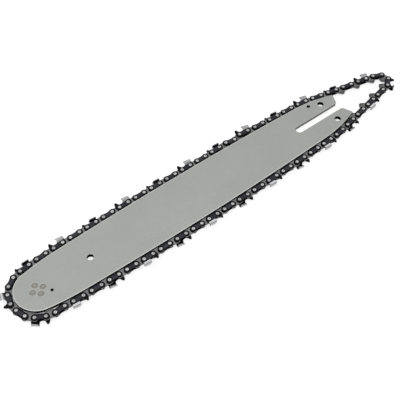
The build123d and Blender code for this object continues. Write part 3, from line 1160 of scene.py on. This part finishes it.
@dataclass
class SawChain:
    """The chain: tie straps, drive links, rivets and two hands of cutters."""

    nodes: dict[str, Mesh]
    strap_pitch: float = 10.2 * MM
    drive_pitch: float = 8.85 * MM
    strap_drop: float = 3.4 * MM
    strap_waist: float = 2.4 * MM
    strap_base: float = 0.675 * MM
    strap_face: float = 1.825 * MM
    strap_steps: int = 8
    hollow_shares: tuple[float, ...] = (0.6, 0.2, -0.2, -0.6)  # corners of the back, in half pitches
    edge_break: float = 0.22 * MM
    fine_break: float = 0.11 * MM
    drive_half: float = 0.625 * MM
    drive_end: float = 3.1 * MM
    shoulder_angle: float = 40.0
    shoulder_steps: int = 7
    tang_drop: float = 8.0 * MM
    tang_tip: float = 1.2 * MM
    tang_round: float = 0.8 * MM
    tang_soft: float = 0.35  # 0 leaves the tang's corners sharp and 0.5 cuts them flat
    rivet: Rivet = Rivet(
        name="chain_rivet_master",
        shank=1.55 * MM,
        head=((2.1 * MM, 0.0), (2.1 * MM, 0.06 * MM), (1.6 * MM, 0.24 * MM), (0.85 * MM, 0.5 * MM)),
        dish=0.35 * MM,
        dip=0.12 * MM,
        corners=16,
        soft_angle=50.0,
    )
    rivet_fit: float = 0.03 * MM
    rivet_play: float = 0.12 * MM
    hole_corners: int = 12
    foot_steps: int = 5
    gullet_front: float = 1.2 * MM
    gullet_rise: float = 0.2 * MM
    gauge_front: float = 8.5 * MM
    gauge_shoulder: float = 4.9 * MM
    gauge_height: float = 6.6 * MM
    gauge_ramp: float = 1.5 * MM
    gauge_top: float = 1.7 * MM
    gauge_heel: float = 3.6 * MM
    gauge_slant: float = 0.8 * MM
    gauge_round: float = 0.3 * MM
    gauge_drop: float = 0.2 * MM
    gauge_brow: float = 0.9 * MM
    tooth_front: float = 0.4 * MM
    tooth_back: float = 8.6 * MM
    tooth_foot: float = 2.8 * MM
    tooth_lean: float = 1.475 * MM
    tooth_wall: float = 1.1 * MM
    tooth_top: float = 7.4 * MM
    tooth_corner: float = 1.4 * MM
    tooth_bends: tuple[float, ...] = (90, 60, 30, 0)  # degrees from upright at each step round the corner
    tooth_lap: float = 0.1 * MM
    tooth_hook: float = 0.8 * MM
    tooth_taper: float = 0.35 * MM
    kerf_half: float = 3.3 * MM
    filing: float = 30.0
    relief: float = 6.0
    foot_margin: float = 0.1 * MM  # a face of the tooth has its middle at least this far above the foot
    front_margin: float = 0.2 * MM  # and at most this far before the tooth's front
    plate_margin: float = 0.9 * MM  # the top plate's upper faces are looked for this far below it
    line: ChainLine = field(init=False)
    links: list[Link] = field(init=False)
    middle_height: float = field(init=False)

    def __post_init__(self) -> None:
        """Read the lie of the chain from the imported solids."""
        self.line = ChainLine(self.nodes, self.strap_pitch, self.drive_pitch)
        self.links = self.line.links()
        self.middle_height = middle_of("core_plate").z

    def drill_link(self, bench: Bench, pitch: float, play: float) -> Mesh:
        """Drill the rivet holes of a link and map its plan.

        Args:
            bench: The link.
            pitch: Distance between its rivets.
            play: How much wider than the rivets its holes are.

        Returns:
            The finished link.
        """
        bench.drill(rivet_pair(pitch), self.rivet.shank + play, self.hole_corners)
        bench.map_plan()
        return bench.piece

    def tie_strap(self) -> Mesh:
        """Model a tie strap with its hollow back, as the front one lies.

        Returns:
            The strap.
        """
        leading, trailing = rivet_pair(self.strap_pitch)
        half = self.strap_pitch / 2
        dip = self.strap_drop - self.strap_waist
        hollow = (half**2 + dip**2) / (2 * dip)
        outline = arc(trailing, self.strap_drop, -90, 90, self.strap_steps)
        for share in self.hollow_shares:
            x = share * half
            rise = hollow - math.sqrt(hollow**2 - x**2)
            outline.append(at(x, self.strap_waist + rise))
        outline += arc(leading, self.strap_drop, 90, 270, self.strap_steps)
        bench = cut_plate("tie_strap_master", outline, self.strap_base, self.strap_face - self.strap_base)
        bench.piece.data.materials.append(STRAP_STEEL.make())
        bench.break_edges(self.edge_break)
        return self.drill_link(bench, self.strap_pitch, self.rivet_fit)

    def drive_link(self) -> Mesh:
        """Model a drive link with its tang.

        Returns:
            The link.
        """
        trailing = rivet_pair(self.drive_pitch)[1]
        slope = math.radians(self.shoulder_angle)
        shoulder = trailing + self.drive_end * at(math.cos(slope), -math.sin(slope))
        tip = at(self.tang_tip, -self.tang_drop)
        flank = (shoulder - tip).normalized()
        inwards = at(-1, 0)
        right = [
            tip + self.tang_round * inwards,
            tip + self.tang_round * self.tang_soft * (flank + inwards),
            tip + self.tang_round * flank,
        ]
        right += arc(trailing, self.drive_end, -self.shoulder_angle, 90, self.shoulder_steps)
        left = [at(-point.x, point.y) for point in reversed(right)]
        bench = cut_plate("drive_link_master", right + left, -self.drive_half, 2 * self.drive_half)
        bench.piece.data.materials.append(DRIVE_LINK_STEEL.make())
        bench.break_edges(self.fine_break)
        return self.drill_link(bench, self.drive_pitch, self.rivet_play)

    def cutter_outline(self) -> list[Vector]:
        """Outline of a cutter's foot with its depth gauge.

        Returns:
            Its corners, counter-clockwise from below the trailing rivet.
        """
        leading, trailing = rivet_pair(self.strap_pitch)
        tip = self.gauge_ramp - self.gauge_front
        heel = tip + self.gauge_top
        return [
            *arc(trailing, self.strap_drop, -90, 0, self.foot_steps),
            at(self.tooth_back, self.tooth_foot),
            at(self.tooth_front, self.tooth_foot),
            at(-self.gullet_front, self.strap_waist),
            at(-self.gauge_heel, self.strap_waist + self.gullet_rise),
            at(heel + self.gauge_slant, self.gauge_shoulder - self.gauge_slant),
            at(heel - self.gauge_round, self.gauge_height - self.gauge_round),
            at(tip + self.gauge_top / 2, self.gauge_height),
            at(tip, self.gauge_height - self.gauge_drop),
            at(tip - self.gauge_brow, self.gauge_shoulder),
            at(-self.gauge_front, self.gauge_shoulder / 2),
            *arc(leading, self.strap_drop, 180, 270, self.foot_steps),
        ]

    def tooth_stations(self) -> list[tuple[Vector, Vector]]:
        """Section of the tooth from its foot to the lip of the top plate.

        Returns:
            Pairs of an outer and an inner point, with the rise in Y and the reach to the side in Z.
        """
        wall = self.tooth_wall
        slip = wall * (math.sqrt(2) - 1)
        lean_top = self.tooth_foot + self.tooth_lean
        outer = Vector((0, lean_top, self.kerf_half))
        stations = [(outer, outer + Vector((0, slip, -wall)))]
        bend = Vector((0, self.tooth_top - self.tooth_corner, self.kerf_half - self.tooth_corner))
        for angle in self.tooth_bends:
            way = Vector((0, math.cos(math.radians(angle)), math.sin(math.radians(angle))))
            stations.append((bend + self.tooth_corner * way, bend + (self.tooth_corner - wall) * way))
        lip = Vector((0, self.tooth_top, -self.tooth_lap))
        return stations + [(lip, lip - at(0, wall))]

    def grow_tooth(self, bench: Bench) -> None:
        """Draw the tooth out of the foot, station by station, with its filed front and its relief.

        Args:
            bench: The cutter's foot.
        """
        length = self.tooth_back - self.tooth_front
        fall = length * math.tan(math.radians(self.relief))
        sweep = math.tan(math.radians(self.filing))
        bench.pick_faces(
            lambda centre, normal: normal.y > SQUARE and self.tooth_front < centre.x < self.tooth_back
        )
        for outer, inner in self.tooth_stations():
            share = (outer.y - self.tooth_foot) / (self.tooth_top - self.tooth_foot)

            def station(corners: list[Vector]) -> list[Vector]:
                """Find the places of the four corners at this station.

                Args:
                    corners: Where they start.

                Returns:
                    Where they go.
                """
                places = []
                across = sorted(corner.x for corner in corners)
                for corner in corners:
                    at_front = corner.x <= across[1]
                    twins = [other for other in corners if (other.x <= across[1]) == at_front]
                    is_outer = corner.y + corner.z == max(other.y + other.z for other in twins)
                    place = (outer if is_outer else inner).copy()
                    if at_front:
                        hook = self.tooth_hook * math.sin(math.pi * share)
                        place.x = self.tooth_front + hook + (self.kerf_half - place.z) * sweep
                    else:
                        place.x = self.tooth_back
                        place.y -= share * fall
                        place.z -= share * self.tooth_taper
                    places.append(place)
                return places

            bench.draw_out(station)
        bench.face_outwards()

    def finish_tooth(self, bench: Bench) -> None:
        """Give the cutter its finishes: blued steel, with a chromed, ground and filed tooth that has painted
        shade inside.

        Args:
            bench: The cutter.
        """
        for finish in CutterFinish:
            bench.piece.data.materials.append(CUTTER_FINISHES[finish].make())
        foot = self.tooth_foot + self.foot_margin
        front = self.tooth_front - self.front_margin
        plate = self.tooth_top - self.tooth_wall - self.plate_margin
        tests: tuple[tuple[CutterFinish, FaceTest], ...] = (
            (CutterFinish.CHROME, lambda centre, normal: normal.z > LEANS),
            (CutterFinish.TOP, lambda centre, normal: centre.y > plate and normal.y > FACES),
            (CutterFinish.INSIDE, lambda centre, normal: normal.z < LEANS and min(normal.yz) < -LEANS),
            (CutterFinish.TOP, lambda centre, normal: centre.z < 0 and normal.z < -SQUARE),
            (CutterFinish.FILED, lambda centre, normal: normal.x < -FACES),
        )
        for finish, test in tests:
            bench.finish_faces(
                finish,
                lambda centre, normal: centre.y > foot and centre.x > front and test(centre, normal),
            )

    def cutter(self) -> Mesh:
        """Model a front cutter: foot, depth gauge and tooth in one piece, with its finishes.

        Returns:
            The cutter.
        """
        thick = self.strap_face - self.strap_base
        bench = cut_plate("front_cutter_master", self.cutter_outline(), self.strap_base, thick)
        self.grow_tooth(bench)
        bench.break_edges(self.fine_break)
        self.finish_tooth(bench)
        return self.drill_link(bench, self.strap_pitch, self.rivet_fit)

    def mirrored(self, master: Mesh) -> Mesh:
        """Make the back cutter from the front one.

        Args:
            master: The front cutter.

        Returns:
            Its mirror image, with its faces turned outwards.
        """
        twin = lay_copies(master, [Matrix.Scale(-1, 4, (0, 0, 1))], "back_cutter_master")
        Bench(twin).face_outwards()
        return twin

    def links_in(self, run: Run) -> list[Link]:
        """Links of one stretch."""
        return [link for link in self.links if link.run is run]

    def strap_places(self, run: Run) -> list[Matrix]:
        """Places of the tie straps in one stretch.

        Args:
            run: The stretch.

        Returns:
            The places of each pair, and of the one strap opposite each cutter.
        """
        to_back = Matrix.Translation((0, 0, -self.strap_base - self.strap_face))
        places = []
        for link in self.links_in(run):
            place = link.place(self.middle_height)
            if link.kind in (LinkKind.TIE, LinkKind.BACK_CUTTER):
                places.append(place)
            if link.kind in (LinkKind.TIE, LinkKind.FRONT_CUTTER):
                places.append(place @ to_back)
        return places

    def drive_places(self, run: Run) -> list[Matrix]:
        """Places of the drive links in one stretch."""
        drives = [link for link in self.links_in(run) if link.kind is LinkKind.DRIVE]
        return [link.place(self.middle_height) for link in drives]

    def rivet_places(self, run: Run) -> list[Matrix]:
        """Places of the rivets in one stretch."""
        spots = self.line.rivets_of(run)
        return [Matrix.Translation((spot.x, spot.y, self.middle_height)) for spot in spots]

    def lay_runs(self, group: str, master: Mesh, places: Callable[[Run], list[Matrix]]) -> None:
        """Lay one kind of link or rivet, one piece for each stretch.

        Args:
            group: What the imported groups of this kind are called.
            master: The modelled link or rivet.
            places: Gives the places in a stretch.
        """
        for run in Run:
            node = f"{group}_{run.value}"
            hand_over(lay_copies(master, places(run), f"{node}_formed"), node)

    def lay_cutters(self, masters: dict[LinkKind, Mesh]) -> None:
        """Lay the cutters, each as a piece of its own.

        Args:
            masters: The cutter of each hand.
        """
        for link in self.links:
            if link.kind in masters:
                place = link.place(self.middle_height)
                piece = lay_copies(masters[link.kind], [place], f"{link.node}_formed")
                hand_over(piece, link.node)

    def build(self) -> None:
        """Model each kind of link once and lay the whole chain."""
        strap = self.tie_strap()
        drive = self.drive_link()
        rivet = self.rivet.model(self.strap_face, CHAIN_RIVET_STEEL)
        front = self.cutter()
        back = self.mirrored(front)
        self.lay_runs("tie_straps", strap, self.strap_places)
        self.lay_runs("drive_links", drive, self.drive_places)
        self.lay_runs("chain_rivets", rivet, self.rivet_places)
        self.lay_cutters({LinkKind.FRONT_CUTTER: front, LinkKind.BACK_CUTTER: back})
        for master in (strap, drive, rivet, front, back):
            bpy.data.objects.remove(master)


@dataclass
class Studio:
    """White floor, soft light and the camera at the photograph's view."""

    floor_side: float = 8.0
    floor_tone: float = 0.4
    floor_rough: float = 0.9
    floor_glow: float = 0.76
    sky_fill: float = 0.62
    mirror_low: float = 0.12
    mirror_band: Band = (0.3, 0.74)  # rise of a mirror's view from the dim to the bright sky
    gap_reach: float = 15 * MM
    gap_band: Band = (0.03, 0.12)  # openness of the floor from dark to full glow
    key_place: Place = (-0.5, 0.7, 1.3)
    key_side: float = 1.2
    key_power: float = 7.0
    fill_place: Place = (0.9, -0.8, 0.9)
    fill_side: float = 1.0
    fill_power: float = 2.0
    camera_place: Place = (-0.3557, -0.4268, 0.6838)
    camera_forward: Place = (0.3790, 0.4847, -0.7884)
    focal_pixels: float = 885.1
    image_pixels: float = 400.0
    sensor_side: float = 36.0
    near_clip: float = 10 * MM

    def sky(self) -> None:
        """Light the world evenly, show it white and let mirrors see it darken towards the horizon."""
        world = bpy.data.worlds.new("studio_white")
        bpy.context.scene.world = world
        world.use_nodes = True
        wiring = Wiring(world.node_tree)
        rays = wiring.nodes.new("ShaderNodeLightPath").outputs
        rise = wiring.split(wiring.where("Generated"), "Z")
        mirror = wiring.spread(rise, *self.mirror_band, self.mirror_low, 1)
        shown = wiring.reckon("MAXIMUM", rays["Is Camera Ray"], rays["Is Transmission Ray"])
        plain = wiring.spread(shown, 0, 1, self.sky_fill, 1)
        background = wiring.nodes["Background"].inputs
        wiring.feed(WHITE, background["Color"])
        wiring.feed(wiring.spread(rays["Is Glossy Ray"], 0, 1, plain, mirror), background["Strength"])

    def floor(self) -> None:
        """Lay a pale floor that shows white, keeps the shadow and has painted shade in narrow gaps, where its
        glow fades out.
        """
        bpy.ops.object.select_all(action="DESELECT")
        bpy.ops.mesh.primitive_plane_add(size=self.floor_side, location=(0, 0, 0))
        floor = bpy.context.active_object
        floor.name = "studio_floor"
        recipe = Recipe("white_floor")
        recipe.shade((self.floor_tone, self.floor_tone, self.floor_tone), 0.0, self.floor_rough)
        rays = recipe.nodes.new("ShaderNodeLightPath").outputs
        seen = rays["Is Camera Ray"]
        for other in ("Is Glossy Ray", "Is Transmission Ray"):
            seen = recipe.reckon("MAXIMUM", seen, rays[other])
        # painted shade: the glow fades where the floor is closed in under the chain and bar
        lit = recipe.spread(recipe.openness(self.gap_reach, False), *self.gap_band, 0, self.floor_glow)
        recipe.feed(WHITE, recipe.shader["Emission Color"])
        recipe.feed(recipe.reckon("MULTIPLY", seen, lit), recipe.shader["Emission Strength"])
        floor.data.materials.append(recipe.material)

    def lamp(self, name: str, place: Place, side: float, power: float) -> None:
        """Hang a square soft box that faces the bar.

        Args:
            name: Name of the lamp.
            place: Where it hangs.
            side: Length of its sides.
            power: Its power, in watts.
        """
        light = bpy.data.lights.new(name, "AREA")
        light.shape = "SQUARE"
        light.size = side
        light.energy = power
        lamp = bpy.data.objects.new(name, light)
        lamp.location = place
        lamp.visible_glossy = False
        lamp.rotation_euler = (-Vector(place)).to_track_quat("-Z", "Y").to_euler()
        bpy.context.scene.collection.objects.link(lamp)

    def camera(self) -> None:
        """Set up the camera, held level."""
        data = bpy.data.cameras.new("photo_camera")
        data.sensor_width = self.sensor_side
        data.lens = self.focal_pixels / self.image_pixels * self.sensor_side
        data.clip_start = self.near_clip
        camera = bpy.data.objects.new("photo_camera", data)
        forward = Vector(self.camera_forward).normalized()
        right = forward.cross(Vector((0, 0, 1))).normalized()
        up = right.cross(forward)
        turn = Matrix((right, up, -forward)).transposed().to_4x4()
        camera.matrix_world = Matrix.Translation(self.camera_place) @ turn
        bpy.context.scene.collection.objects.link(camera)
        bpy.context.scene.camera = camera

    def build(self) -> None:
        """Set up floor, light and camera."""
        self.sky()
        self.floor()
        self.lamp("key_box", self.key_place, self.key_side, self.key_power)
        self.lamp("fill_box", self.fill_place, self.fill_side, self.fill_power)
        self.camera()
        bpy.context.scene.view_settings.view_transform = "Standard"


def main() -> None:
    """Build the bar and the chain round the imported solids, and the studio round them."""
    logging.basicConfig(level=logging.INFO, format="%(name)s: %(message)s")
    Studio().build()
    GuideBar(frame["nodes"]).build()
    SawChain(frame["nodes"]).build()


if __name__ == "__main__":
    main()
